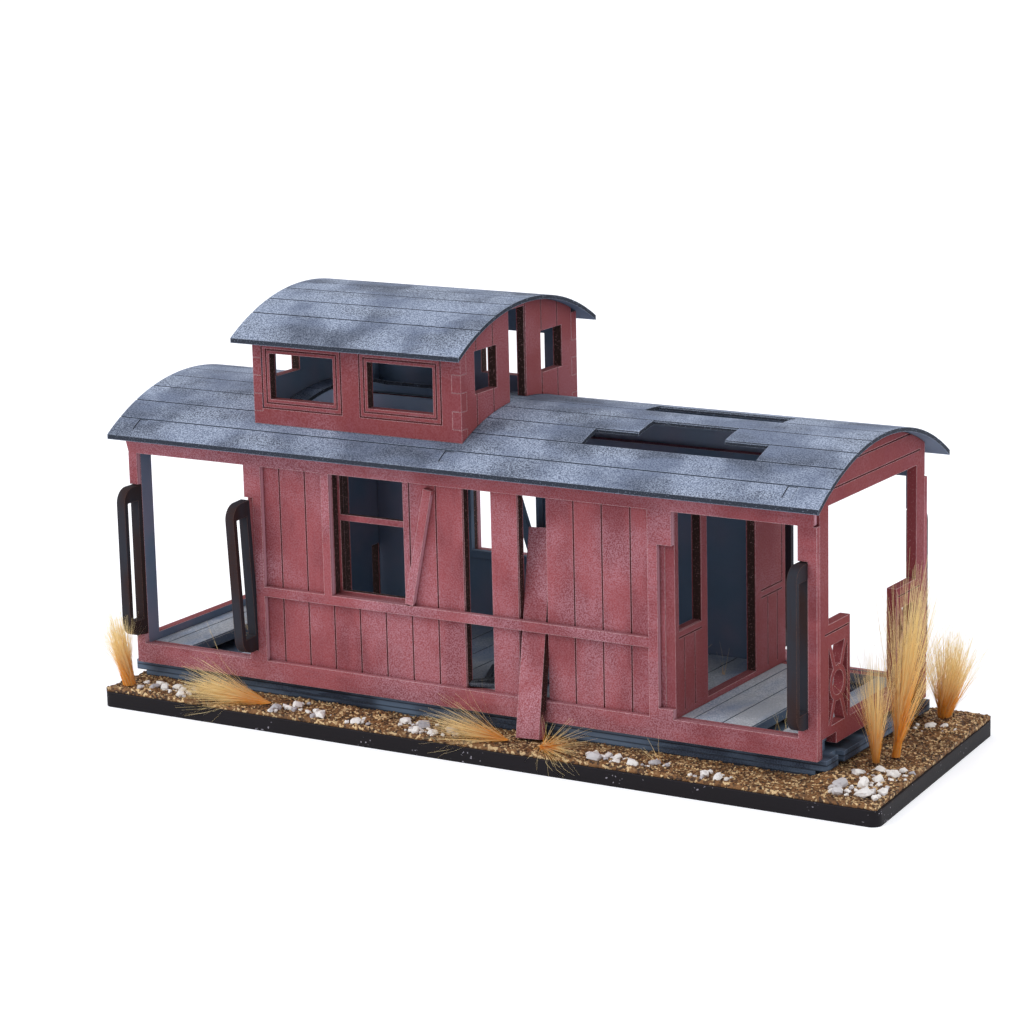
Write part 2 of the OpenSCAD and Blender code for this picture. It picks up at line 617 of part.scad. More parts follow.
// the larger stones lie on the gravel; [x, y, radius]
front_pebbles = [
    [6.7, -8.2, 1], [8.9, -6.6, 1.2], [16.5, -8.2, 1.1], [38.9, -7.2, 1.1], [42.1, -4.6, 1.2],
    [49.5, -7.8, 1.3], [58.1, -8.2, 1.1], [66.5, -3.8, 1.2], [71.7, -8.2, 1], [71.2, -4.4, 1.2],
    [75.3, -7.8, 1.1], [77.5, -4.8, 1], [110.5, -7.6, 1.3], [114.3, -6, 1], [118.5, -8, 1.2],
    [121.9, -5.6, 1.1], [133.1, -7.6, 1.2], [136.1, -8.2, 1]
];
right_pebbles = [
    [5.5, -2.2, 1.5], [5.5, 4.8, 1.4], [8.5, 8.4, 1.2], [11.7, 6.8, 1.5], [14.1, 3.4, 1.3],
    [10.5, 3, 1.3], [11.5, -5.6, 1.5], [14.1, -2.6, 1.1], [6.9, -6.2, 1.3], [14.7, 9, 1.1],
    [9.1, -0.2, 1.3], [4.9, 37.8, 1.2], [7.5, 38.6, 1.1]
];
module pebble_set(table) for (p = table) translate([p[0], p[1], ground + p[2] * 0.4]) sphere(p[2], $fn = 24);
module stones() color("#d8d4d0") difference() {
    union() {
        from_left() pebble_set(front_pebbles);
        from_right() pebble_set(right_pebbles);
    }
    translate([-base_l, -base_w, ground - 5]) cube([2 * base_l, 2 * base_w, 5 + e]);
}

base_board();
gravel_bed();
lower_chassis();
upper_chassis();
floor_bearers();
floor_deck();
front_wall();
back_wall();
front_side_frame();
back_side_frame();
front_window_lining();
back_window_lining();
left_end_wall();
right_end_wall();
left_end_frame();
right_end_frame();
roof_ribs();
main_roof();
roof_tabs();
lookout_front_wall();
lookout_back_wall();
lookout_left_wall();
lookout_right_wall();
lookout_roof();
front_left_grab_rail();
front_right_grab_rail();
front_cabin_grab_rail();
back_left_grab_rail();
back_right_grab_rail();
back_cabin_grab_rails();
fallen_plank();
front_batten();
back_batten();
grass_tufts();
stones();
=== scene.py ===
"""Looks of a derelict caboose model: painted board, ballast, stones, dry grass, and a plain stage."""

import math
import random

import bpy
from bpy.props import FloatProperty, FloatVectorProperty, IntProperty, PointerProperty
from mathutils import Euler, Matrix, Vector


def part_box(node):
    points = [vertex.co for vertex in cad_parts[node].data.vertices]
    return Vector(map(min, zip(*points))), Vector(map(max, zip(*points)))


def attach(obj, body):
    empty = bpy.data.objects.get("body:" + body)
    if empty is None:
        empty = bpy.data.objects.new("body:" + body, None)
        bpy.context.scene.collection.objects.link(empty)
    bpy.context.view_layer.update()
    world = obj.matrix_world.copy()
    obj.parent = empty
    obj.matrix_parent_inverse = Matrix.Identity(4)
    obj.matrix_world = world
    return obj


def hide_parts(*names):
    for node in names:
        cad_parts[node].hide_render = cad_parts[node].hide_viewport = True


bl_info = {
    "name": "Derelict caboose model",
    "version": (1, 0, 0),
    "blender": (4, 5, 0),
    "location": "View3D > Sidebar > Caboose",
    "description": "Paints the caboose model and dresses its scenic base",
    "category": "Object",
}

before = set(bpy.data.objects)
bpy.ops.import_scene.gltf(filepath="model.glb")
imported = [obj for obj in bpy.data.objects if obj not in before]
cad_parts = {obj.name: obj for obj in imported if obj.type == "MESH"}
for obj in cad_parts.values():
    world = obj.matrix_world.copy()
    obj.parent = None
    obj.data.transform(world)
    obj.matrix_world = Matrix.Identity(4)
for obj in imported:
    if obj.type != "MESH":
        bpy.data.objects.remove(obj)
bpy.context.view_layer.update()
MM = 0.001
PER_CM2 = 1e4  # in each square metre
SEED = 11


# ---------------------------------------------------------------- colours

def srgb(code):
    """A linear colour from an sRGB hex value."""
    parts = [int(code[i:i + 2], 16) / 255 for i in (1, 3, 5)]
    return tuple(c / 12.92 if c <= 0.04045 else ((c + 0.055) / 1.055) ** 2.4 for c in parts)


def colour(name, code, description):
    """A colour that the user can change."""
    return FloatVectorProperty(name=name, description=description, default=srgb(code),
                               size=3, min=0, max=1, subtype="COLOR")


def length(name, millimetres, description):
    """A length that the user can change, kept in metres."""
    return FloatProperty(name=name, description=description, default=millimetres * MM,
                         min=0, subtype="DISTANCE", unit="LENGTH", precision=5)


class CaboosePaint(bpy.types.PropertyGroup):
    """Colours of the painted board."""

    wall: colour("Wall", "#9c4a4e", "Oxide red of the planked walls")
    wall_dust: colour("Wall dust", "#c593a0", "Chalky pink rubbed over the walls")
    wall_deep: colour("Wall shade", "#80363b", "Darker red left in the hollows")
    wall_rub: colour("Rubbed edge", "#e2bcc0", "Pale pink where the paint is rubbed on edges")
    lookout: colour("Lookout", "#82383a", "Oxide red of the lookout, less chalky than the walls")
    inside: colour("Inside", "#64778f", "Dark blue-grey of the inner faces")
    inside_pale: colour("Inside, rubbed", "#93a2b8", "Paler blue-grey inside the long sides' frames")
    cut: colour("Cut edge", "#2f1a16", "Scorched brown of laser-cut edges")
    roof: colour("Roof", "#56627c", "Blue-grey of the roof boards")
    roof_dust: colour("Roof dust", "#b9c6de", "Pale stipple on the roof")
    roof_deep: colour("Roof shade", "#2f384c", "Dark blue left on the roof")
    eaves: colour("Roof edge", "#2a303c", "Blue-black of the roof's cut edges")
    chassis: colour("Chassis", "#252d3d", "Dark blue of the chassis boards")
    chassis_rub: colour("Chassis edge", "#7788a4", "Pale blue rubbed on the chassis")
    deck: colour("Deck", "#979ca6", "Weathered grey of the floor planks")
    deck_rub: colour("Deck rub", "#d0d4db", "Pale grey rubbed over the floor")
    rail: colour("Grab rail", "#2b2c34", "Near-black of the grab rails")
    rail_rub: colour("Grab rail wear", "#7a5a50", "Brown where the grab rails are worn")
    base: colour("Base", "#1a171b", "Black edge of the base")
    base_grey: colour("Base shade", "#1f1c22", "Paler black where the base's paint is thin")
    base_chip: colour("Base chips", "#b9b4c0", "Board that shows where the base's paint is chipped")
    base_rub: colour("Base wear", "#6a6470", "Grey rubbed along the base's edges")


class CabooseGround(bpy.types.PropertyGroup):
    """Sizes and colours of the ground."""

    ballast: colour("Ballast", "#8a6038", "Brown of the ballast")
    ballast_light: colour("Pale grains", "#e9c897", "Tan of the pale grains")
    ballast_dark: colour("Dark grains", "#3d281a", "Shade between the grains")
    stone: colour("Stone", "#f4f1ef", "Limestone chips")
    stone_shade: colour("Stone shade", "#b3b0b8", "Grey chips")
    grain: length("Grain", 0.38, "Size of a ballast grain")
    cell: length("Ground mesh", 0.55, "Mesh size of the ballast bed")
    roughness: length("Unevenness", 0.35, "How far the ballast rises and falls")
    grains: IntProperty(name="Grains", description="Grains in each square centimetre",
                        default=225, min=0, max=400)


class CabooseGrass(bpy.types.PropertyGroup):
    """Sizes and colours of the dry grass."""

    root: colour("Root", "#fbcf6c", "Orange-gold at the roots")
    straw: colour("Straw", "#fff3cf", "Pale straw at the tips")
    aged: colour("Aged fibre", "#c39a38", "Ochre of a few old fibres")
    thick: length("Fibre", 0.11, "Width of a fibre at its root")
    amount: FloatProperty(name="Amount", description="Share of the fibres that are planted",
                          default=1, min=0.05, max=2, subtype="FACTOR")


class CabooseStage(bpy.types.PropertyGroup):
    """Lights and camera."""

    key: FloatProperty(name="Key light", description="Power of the large lamp", default=2.2, min=0,
                       unit="POWER")
    fill: FloatProperty(name="Sky light", description="Strength of the even light all round", default=0.85,
                        min=0)
    azimuth: FloatProperty(name="Azimuth", description="Turn of the camera round the model",
                           default=math.radians(31.443), subtype="ANGLE", unit="ROTATION")
    elevation: FloatProperty(name="Elevation", description="Angle of the camera over the horizon",
                             default=math.radians(12.914), subtype="ANGLE", unit="ROTATION")
    roll: FloatProperty(name="Roll", description="Turn of the camera about its own axis",
                        default=math.radians(-1.34), subtype="ANGLE", unit="ROTATION")
    focal: FloatProperty(name="Lens", description="Focal length on a 36 mm sensor, in millimetres",
                         default=117.03, min=10)
    place: FloatVectorProperty(name="Camera", description="Place of the camera", size=3,
                               default=(0.32018, -0.53502, 0.18495), subtype="XYZ", unit="LENGTH")


def settings(name):
    """One of this file's property groups on the scene."""
    return getattr(bpy.context.scene, name)


# ---------------------------------------------------------------- shader nodes

MIX, MAP, MATH, VECTOR = "ShaderNodeMix", "ShaderNodeMapRange", "ShaderNodeMath", "ShaderNodeVectorMath"
NOISE, MAPPING, COORDINATES = "ShaderNodeTexNoise", "ShaderNodeMapping", "ShaderNodeTexCoord"
AXES, SURFACE, OPENNESS = "ShaderNodeSeparateXYZ", "ShaderNodeNewGeometry", "ShaderNodeAmbientOcclusion"
STORED, RANDOM = "ShaderNodeAttribute", "FunctionNodeRandomValue"
COLOURS = {"data_type": "RGBA"}
SMOOTH = {"interpolation_type": "SMOOTHSTEP"}
TIMES = {"operation": "MULTIPLY"}


def node(tree, kind, inputs=None, out=0, **options):
    """Adds a node and gives one of its outputs. Inputs are values or sockets, by name or number."""
    made = tree.nodes.new(kind)
    for key, value in options.items():
        setattr(made, key, value)
    for key, value in (inputs or {}).items():
        socket = made.inputs[key]
        if isinstance(value, bpy.types.NodeSocket):
            tree.links.new(value, socket)
        elif socket.type == "RGBA" and len(value) == 3:
            socket.default_value = (*value, 1)
        else:
            socket.default_value = value
    return made.outputs[out] if len(made.outputs) else None


def new_material(name):
    """A node material, with its principled shader."""
    material = bpy.data.materials.new(name)
    material.use_nodes = True
    tree = material.node_tree
    return material, tree, tree.nodes["Principled BSDF"]


def spots(size_mm):
    """The scale of a pattern whose spots are about size_mm across."""
    return 1 / (size_mm * MM)


def drawn_out(along, ratio):
    """The scale of coordinates drawn out along an axis, for wood fibres and brush strokes."""
    return [1 / ratio if axis == along else 1 for axis in "xyz"]


def between(first, second, share=0.5):
    """The colour a share of the way from one to another."""
    return tuple(a + (b - a) * share for a, b in zip(first, second))


def edge_wear(tree, radius_mm):
    """(rounded normal, how near a point is to an edge)."""
    rounded = node(tree, "ShaderNodeBevel", {"Radius": radius_mm * MM}, samples=6)
    flat = node(tree, SURFACE, out="True Normal")
    alike = node(tree, VECTOR, {0: rounded, 1: flat}, "Value", operation="DOT_PRODUCT")
    apart = node(tree, MATH, {0: 1.0, 1: alike}, operation="SUBTRACT")
    return rounded, node(tree, MAP, {0: apart, 1: 0.01, 2: 0.14}, **SMOOTH)


def gap_to(tree, place, axis, value):
    """How far a point is from a plane across an axis."""
    along = node(tree, AXES, {0: place}, axis)
    apart = node(tree, MATH, {0: along, 1: value}, operation="SUBTRACT")
    return node(tree, MATH, {0: apart}, operation="ABSOLUTE")


def at_outline(tree, place, low, high):
    """1 on a piece's own end faces along x and y, and 0 inside its outline."""
    found = 0.0
    for axis in (0, 1):
        for corner in (low, high):
            gap = gap_to(tree, place, axis, corner[axis])
            near = node(tree, MAP, {0: gap, 1: 0.3 * MM, 2: 0.1 * MM}, **SMOOTH)
            found = node(tree, MATH, {0: found, 1: near}, operation="MAXIMUM")
    return found


def darkened(tree, body, light):
    """A colour times a grey."""
    grey = node(tree, "ShaderNodeCombineColor", {0: light, 1: light, 2: light})
    return node(tree, MIX, {0: 1.0, 6: body, 7: grey}, 2, blend_type="MULTIPLY", **COLOURS)


def dress(tree, shader, body, relief, roughness, specular=0.5):
    """Gives a shader its colour, its relief and its gloss."""
    tree.links.new(body, shader.inputs["Base Color"])
    tree.links.new(node(tree, "ShaderNodeBump", relief), shader.inputs["Normal"])
    shader.inputs["Roughness"].default_value = roughness
    shader.inputs["Specular IOR Level"].default_value = specular


# ---------------------------------------------------------------- materials

def painted_board(name, face, dust, deep, rub, cut=None, inside=None, outward=None, along="z",
                  outline=None, dustiness=0.5, rubbing=0.8, grain=0.3, seams=(), edge_mm=0.2):
    """Matt acrylic on laser-cut fibreboard, dry-brushed: a chalky tooth, pale rubbed edges, a deeper red left
    in the grooves, and painted shade in grooves and corners.

    outward is the painted face's direction: the other side shows inside, and the cut edges show cut, save
    those at the piece's own outline, a pair of corners, which are painted too. seams are the heights, in
    millimetres, where two boards meet.
    """
    material, tree, shader = new_material(name)
    place = node(tree, COORDINATES, out="Object")
    rounded, edge = edge_wear(tree, edge_mm)
    strokes = node(tree, MAPPING, {"Vector": place, "Scale": drawn_out(along, 2.5)})
    strands = node(tree, MAPPING, {"Vector": place, "Scale": drawn_out(along, 16)})
    cloud = node(tree, NOISE, {"Vector": place, "Scale": spots(13)})
    patch = node(tree, NOISE, {"Vector": strokes, "Scale": spots(6)})
    # the board's tooth is finer than this, and is drawn as coarse as it needs to show
    tooth = node(tree, NOISE, {"Vector": place, "Scale": spots(0.26), "Detail": 1.0, "Roughness": 0.6})
    fibre = node(tree, NOISE, {"Vector": strands, "Scale": spots(0.45)})

    lit = node(tree, MAP, {0: patch, 1: 0.34, 2: 0.62}, **SMOOTH)
    body = node(tree, MIX, {0: lit, 6: deep, 7: face}, 2, **COLOURS)
    drawn = node(tree, MAP, {0: fibre, 1: 0.56, 2: 0.7, 4: grain}, **SMOOTH)
    body = node(tree, MIX, {0: drawn, 6: body, 7: deep}, 2, **COLOURS)

    thick = node(tree, MAP, {0: cloud, 1: 0.38, 2: 0.62, 3: 0.35}, **SMOOTH)
    caught = node(tree, MAP, {0: tooth, 1: 0.36, 2: 0.64, 3: 0.15}, **SMOOTH)
    chalk = node(tree, MATH, {0: thick, 1: caught}, **TIMES)
    amount = dustiness
    if outward in (FRONT, BACK):  # on the long sides the pale pink thins out towards the right, between 20 and 80 mm along x
        across = node(tree, AXES, {0: place}, "X")
        amount = node(tree, MAP, {0: across, 1: 0.02, 2: 0.08, 3: dustiness, 4: dustiness * 0.45}, **SMOOTH)
    chalk = node(tree, MATH, {0: chalk, 1: amount}, **TIMES)
    body = node(tree, MIX, {0: chalk, 6: body, 7: dust}, 2, **COLOURS)

    # 1 in the open, less in corners and grooves; it also drives the painted shade further down
    open_air = node(tree, OPENNESS, {"Distance": 1.1 * MM}, "AO", samples=6)
    if outward is not None:
        normal = node(tree, SURFACE, out="True Normal")
        turned = node(tree, VECTOR, {0: normal, 1: outward}, "Value", operation="DOT_PRODUCT")
        grit = node(tree, MAP, {0: tooth, 1: 0.6, 2: 0.72, 4: 0.45}, **SMOOTH)
        ends = node(tree, MIX, {0: grit, 6: cut, 7: between(face, rub)}, 2, **COLOURS)
        if outline:
            upward = node(tree, VECTOR, {0: normal, 1: UP}, "Value", operation="DOT_PRODUCT")
            on_top = node(tree, MAP, {0: upward, 1: 0.5, 2: 0.8, 4: 0.8}, **SMOOTH)
            painted = node(tree, MATH, {0: at_outline(tree, place, *outline), 1: on_top}, operation="MAXIMUM")
            ends = node(tree, MIX, {0: painted, 6: ends, 7: body}, 2, **COLOURS)
        outside = node(tree, MAP, {0: open_air, 1: 0.3, 2: 0.55}, **SMOOTH)
        ends = node(tree, MIX, {0: outside, 6: between(deep, face, 0.6), 7: ends}, 2, **COLOURS)
        smudge = node(tree, MAP, {0: cloud, 1: 0.35, 2: 0.7, 4: 0.35}, **SMOOTH)
        hidden = node(tree, MIX, {0: smudge, 6: inside, 7: between(inside, dust)}, 2, **COLOURS)
        facing = node(tree, MAP, {0: turned, 1: 0.35, 2: 0.6}, **SMOOTH)
        body = node(tree, MIX, {0: facing, 6: ends, 7: body}, 2, **COLOURS)
        backing = node(tree, MAP, {0: turned, 1: -0.35, 2: -0.6}, **SMOOTH)
        body = node(tree, MIX, {0: backing, 6: body, 7: hidden}, 2, **COLOURS)

    for value, low, high, least in ((open_air, 0.45, 0.75, 0.0), (tooth, 0.3, 0.55, 0.4)):
        share = node(tree, MAP, {0: value, 1: low, 2: high, 3: least}, **SMOOTH)
        edge = node(tree, MATH, {0: edge, 1: share}, **TIMES)
    worn = node(tree, MATH, {0: edge, 1: rubbing}, **TIMES)
    body = node(tree, MIX, {0: worn, 6: body, 7: rub}, 2, **COLOURS)

    # painted shade: the colour is darkened where little air is open, in corners and grooves
    shade = node(tree, MAP, {0: open_air, 1: 0.05, 2: 0.8, 3: 0.45}, **SMOOTH)
    # thin dark lines at the seam heights, multiplied into the painted shade; where two boards meet, the line
    # is painted shade
    for seam in seams:
        gap = gap_to(tree, place, "Z", seam * MM)
        line = node(tree, MAP, {0: gap, 1: 0.06 * MM, 2: 0.2 * MM, 3: 0.35}, **SMOOTH)
        shade = node(tree, MATH, {0: shade, 1: line}, **TIMES)
    relief = {"Strength": 0.5, "Distance": 0.05 * MM, "Height": tooth, "Normal": rounded}
    dress(tree, shader, darkened(tree, body, shade), relief, 0.82, 0.3)
    return material


def ballast_material(name, grainy):
    """Crushed cork and fine grit glued down: every grain its own brown, with pale specks."""
    ground = settings("caboose_ground")
    material, tree, shader = new_material(name)
    place = node(tree, COORDINATES, out="Object")
    grains = node(tree, "ShaderNodeTexVoronoi", {"Vector": place, "Scale": spots(0.5)}, "Color")
    if grainy:
        pick = node(tree, STORED, out="Fac", attribute_name="shade")
    else:
        pick = node(tree, "ShaderNodeSeparateColor", {0: grains})
    brown = node(tree, MAP, {0: pick, 1: 0.05, 2: 0.5}, **SMOOTH)
    body = node(tree, MIX, {0: brown, 6: ground.ballast_dark, 7: ground.ballast}, 2, **COLOURS)
    pale = node(tree, MAP, {0: pick, 1: 0.7, 2: 0.9}, **SMOOTH)
    body = node(tree, MIX, {0: pale, 6: body, 7: ground.ballast_light}, 2, **COLOURS)
    patch = node(tree, NOISE, {"Vector": place, "Scale": spots(5)})
    damp = node(tree, MAP, {0: patch, 1: 0.45, 2: 0.7, 4: 0.35}, **SMOOTH)
    body = node(tree, MIX, {0: damp, 6: body, 7: ground.ballast_dark}, 2, **COLOURS)
    # painted shade: the colour is darkened where little air is open, between the grains and against the car
    open_air = node(tree, OPENNESS, {"Distance": 0.9 * MM}, "AO", samples=6)
    light = node(tree, MAP, {0: open_air, 1: 0.15, 2: 0.8, 3: 0.25}, **SMOOTH)
    height = node(tree, MATH, {0: 1.0, 1: grains.node.outputs["Distance"]}, operation="SUBTRACT")
    relief = {"Strength": 1.0, "Distance": 0.2 * MM, "Height": height}
    dress(tree, shader, darkened(tree, body, light), relief, 0.75)
    return material


def limestone():
    """Broken limestone: nearly white, chalky, some chips grey."""
    ground = settings("caboose_ground")
    material, tree, shader = new_material("limestone_chip")
    place = node(tree, COORDINATES, out="Object")
    pick = node(tree, STORED, out="Fac", attribute_name="shade")
    grey = node(tree, MAP, {0: pick, 1: 0.55, 2: 1.0}, **SMOOTH)
    body = node(tree, MIX, {0: grey, 6: ground.stone, 7: ground.stone_shade}, 2, **COLOURS)
    grit = node(tree, NOISE, {"Vector": place, "Scale": spots(0.5), "Detail": 3.0})
    pits = node(tree, MAP, {0: grit, 1: 0.5, 2: 0.75, 4: 0.4}, **SMOOTH)
    body = node(tree, MIX, {0: pits, 6: body, 7: ground.stone_shade}, 2, **COLOURS)
    # browner where little air is open round a chip: at its foot in the ballast and in its hollows
    open_air = node(tree, OPENNESS, {"Distance": 0.8 * MM}, "AO", samples=6)
    closed_in = node(tree, MAP, {0: open_air, 1: 0.2, 2: 0.7, 3: 0.75, 4: 0.0}, **SMOOTH)
    body = node(tree, MIX, {0: closed_in, 6: body, 7: ground.ballast}, 2, **COLOURS)
    dress(tree, shader, body, {"Strength": 0.6, "Distance": 0.08 * MM, "Height": grit}, 0.7)
    return material


def grass_fibre():
    """Dyed nylon fibre: gold at the root, pale at the tip, with light showing through it."""
    grass = settings("caboose_grass")
    material, tree, shader = new_material("dry_grass_fibre")
    along = node(tree, STORED, out="Fac", attribute_name="along")
    pick = node(tree, STORED, out="Fac", attribute_name="shade")
    shift = node(tree, MAP, {0: pick, 3: -0.25, 4: 0.25}, **SMOOTH)
    reach = node(tree, MATH, {0: along, 1: shift}, operation="ADD")
    faded = node(tree, MAP, {0: reach, 1: 0.0, 2: 0.6}, **SMOOTH)
    body = node(tree, MIX, {0: faded, 6: grass.root, 7: grass.straw}, 2, **COLOURS)
    aged = node(tree, MAP, {0: pick, 1: 0.8, 2: 1.0, 4: 0.35}, **SMOOTH)
    body = node(tree, MIX, {0: aged, 6: body, 7: grass.aged}, 2, **COLOURS)
    through = node(tree, "ShaderNodeBsdfTranslucent", {"Color": body})
    both = node(tree, "ShaderNodeMixShader", {0: 0.7, 1: shader.outputs[0], 2: through})
    tree.links.new(both, tree.nodes["Material Output"].inputs["Surface"])
    tree.links.new(body, shader.inputs["Base Color"])
    shader.inputs["Roughness"].default_value = 0.55
    return material


def base_edge():
    """Black paint on a fibreboard edge, with a few chips and dusty scuffs."""
    paint = settings("caboose_paint")
    material, tree, shader = new_material("base_black_paint")
    place = node(tree, COORDINATES, out="Object")
    rounded, edge = edge_wear(tree, 0.3)
    strokes = node(tree, MAPPING, {"Vector": place, "Scale": drawn_out("x", 4)})
    cloud = node(tree, NOISE, {"Vector": strokes, "Scale": spots(4), "Detail": 3.0})
    uneven = node(tree, MAP, {0: cloud, 1: 0.4, 2: 0.7, 4: 0.4}, **SMOOTH)
    body = node(tree, MIX, {0: uneven, 6: paint.base, 7: paint.base_grey}, 2, **COLOURS)
    speck = node(tree, NOISE, {"Vector": place, "Scale": spots(0.6), "Detail": 1.0})
    speck = node(tree, MAP, {0: speck, 1: 0.68, 2: 0.72}, **SMOOTH)
    group = node(tree, NOISE, {"Vector": place, "Scale": spots(9)})
    group = node(tree, MAP, {0: group, 1: 0.56, 2: 0.62, 4: 0.7}, **SMOOTH)
    chips = node(tree, MATH, {0: speck, 1: group}, **TIMES)
    body = node(tree, MIX, {0: chips, 6: body, 7: paint.base_chip}, 2, **COLOURS)
    rubbed = node(tree, MATH, {0: edge, 1: 0.15}, **TIMES)
    body = node(tree, MIX, {0: rubbed, 6: body, 7: paint.base_rub}, 2, **COLOURS)
    nap = node(tree, NOISE, {"Vector": place, "Scale": spots(0.6), "Detail": 3.0})
    relief = {"Strength": 0.4, "Distance": 0.06 * MM, "Height": nap, "Normal": rounded}
    dress(tree, shader, body, relief, 0.6, 0.15)
    return material


# ---------------------------------------------------------------- modelling helpers

def deselect():
    """Leaves edit mode with nothing selected."""
    if bpy.context.object and bpy.context.object.mode != "OBJECT":
        bpy.ops.object.mode_set(mode="OBJECT")
    bpy.ops.object.select_all(action="DESELECT")


def only(piece):
    """Selects one object and nothing else."""
    deselect()
    piece.select_set(True)
    bpy.context.view_layer.objects.active = piece
    return piece


def edit(piece):
    """Opens a piece for editing with nothing selected."""
    only(piece)
    bpy.ops.object.mode_set(mode="EDIT")
    bpy.ops.mesh.select_mode(type="VERT")
    bpy.ops.mesh.select_all(action="DESELECT")


def done():
    bpy.ops.object.mode_set(mode="OBJECT")


def select_points(piece, test):
    """Selects the vertices that pass a test on their place. Works from edit mode and returns to it."""
    bpy.ops.mesh.select_all(action="DESELECT")
    done()
    for vertex in piece.data.vertices:
        vertex.select = test(vertex.co)
    bpy.ops.object.mode_set(mode="EDIT")


def apply_modifiers(piece):
    """Applies every modifier, in order."""
    only(piece)
    for modifier in list(piece.modifiers):
        bpy.ops.object.modifier_apply(modifier=modifier.name)


def settle(piece, name, material, replaced=()):
    """Names a finished piece, puts its place into its mesh and fastens it to the model."""
    only(piece)
    bpy.ops.object.transform_apply(location=True, rotation=True, scale=True)
    piece.name = name
    piece.data.materials.clear()
    piece.data.materials.append(material)
    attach(piece, "root")
    if replaced:
        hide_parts(*replaced)
    return piece


def give_attribute(piece, name, value):
    """Stores a number on every point, or a number for each point from a function of its place."""
    layer = piece.data.attributes.get(name) or piece.data.attributes.new(name, "FLOAT", "POINT")
    values = [value(v.co) if callable(value) else value for v in piece.data.vertices]
    layer.data.foreach_set("value", values)


def copy_at(kind, matrix, shade):
    """A copy of a modelled shape with its own mesh, moved in its mesh."""
    made = bpy.data.objects.new(kind.name, kind.data.copy())
    bpy.context.scene.collection.objects.link(made)
    made.data.transform(matrix)
    give_attribute(made, "shade", shade)
    return made


def join(pieces):
    """Joins pieces into the first."""
    deselect()
    for piece in pieces:
        piece.select_set(True)
    bpy.context.view_layer.objects.active = pieces[0]
    bpy.ops.object.join()
    return bpy.context.object


def remove(*pieces):
    for piece in pieces:
        bpy.data.objects.remove(piece)


def islands(name):
    """The separate solids of a CAD node, as lists of points."""
    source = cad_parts[name]
    copy = bpy.data.objects.new("islands", source.data.copy())
    bpy.context.scene.collection.objects.link(copy)
    edit(copy)
    bpy.ops.mesh.select_all(action="SELECT")
    bpy.ops.mesh.remove_doubles(threshold=0.001 * MM)
    bpy.ops.mesh.separate(type="LOOSE")
    done()
    parts = list(bpy.context.selected_objects)
    points = [[v.co.copy() for v in part.data.vertices] for part in parts]
    remove(*parts)
    return sorted(points, key=lambda solid: (round(min(p.x for p in solid), 5), solid[0].y))


def right_end():
    """(a corner, the outward direction) of the base's right end, which is cut out of square."""
    low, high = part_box("base_board")
    corners = [v.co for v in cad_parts["base_board"].data.vertices]
    back = max(c.x for c in corners if c.y > high.y - 0.01 * MM)
    front = max(c.x for c in corners if c.y < low.y + 0.01 * MM)
    return Vector((high.x, low.y, 0)), Vector((high.y - low.y, front - back, 0)).normalized()


def on_base(x, y, margin):
    """Whether a point lies on the base, at least a margin inside its edge."""
    low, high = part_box("base_board")
    corner, slant = right_end()
    inside = (Vector((x, y, 0)) - corner).dot(slant) < -margin
    return inside and x > low.x + margin and low.y + margin < y < high.y - margin


def middle(points):
    """The mean of some points."""
    return sum(points, Vector()) / len(points)


# ---------------------------------------------------------------- pieces

FRONT, BACK, LEFT, RIGHT, UP = (0, -1, 0), (0, 1, 0), (-1, 0, 0), (1, 0, 0), (0, 0, 1)
WALLS = {
    "front_wall": FRONT, "back_wall": BACK, "left_end_wall": LEFT, "right_end_wall": RIGHT,
    "lookout_front_wall": FRONT, "lookout_back_wall": BACK, "lookout_left_wall": LEFT,
    "lookout_right_wall": RIGHT, "fallen_plank": FRONT,
}
FRAMES = {
    "front_side_frame": FRONT, "back_side_frame": BACK, "left_end_frame": LEFT, "right_end_frame": RIGHT,
    "front_batten": FRONT,
}


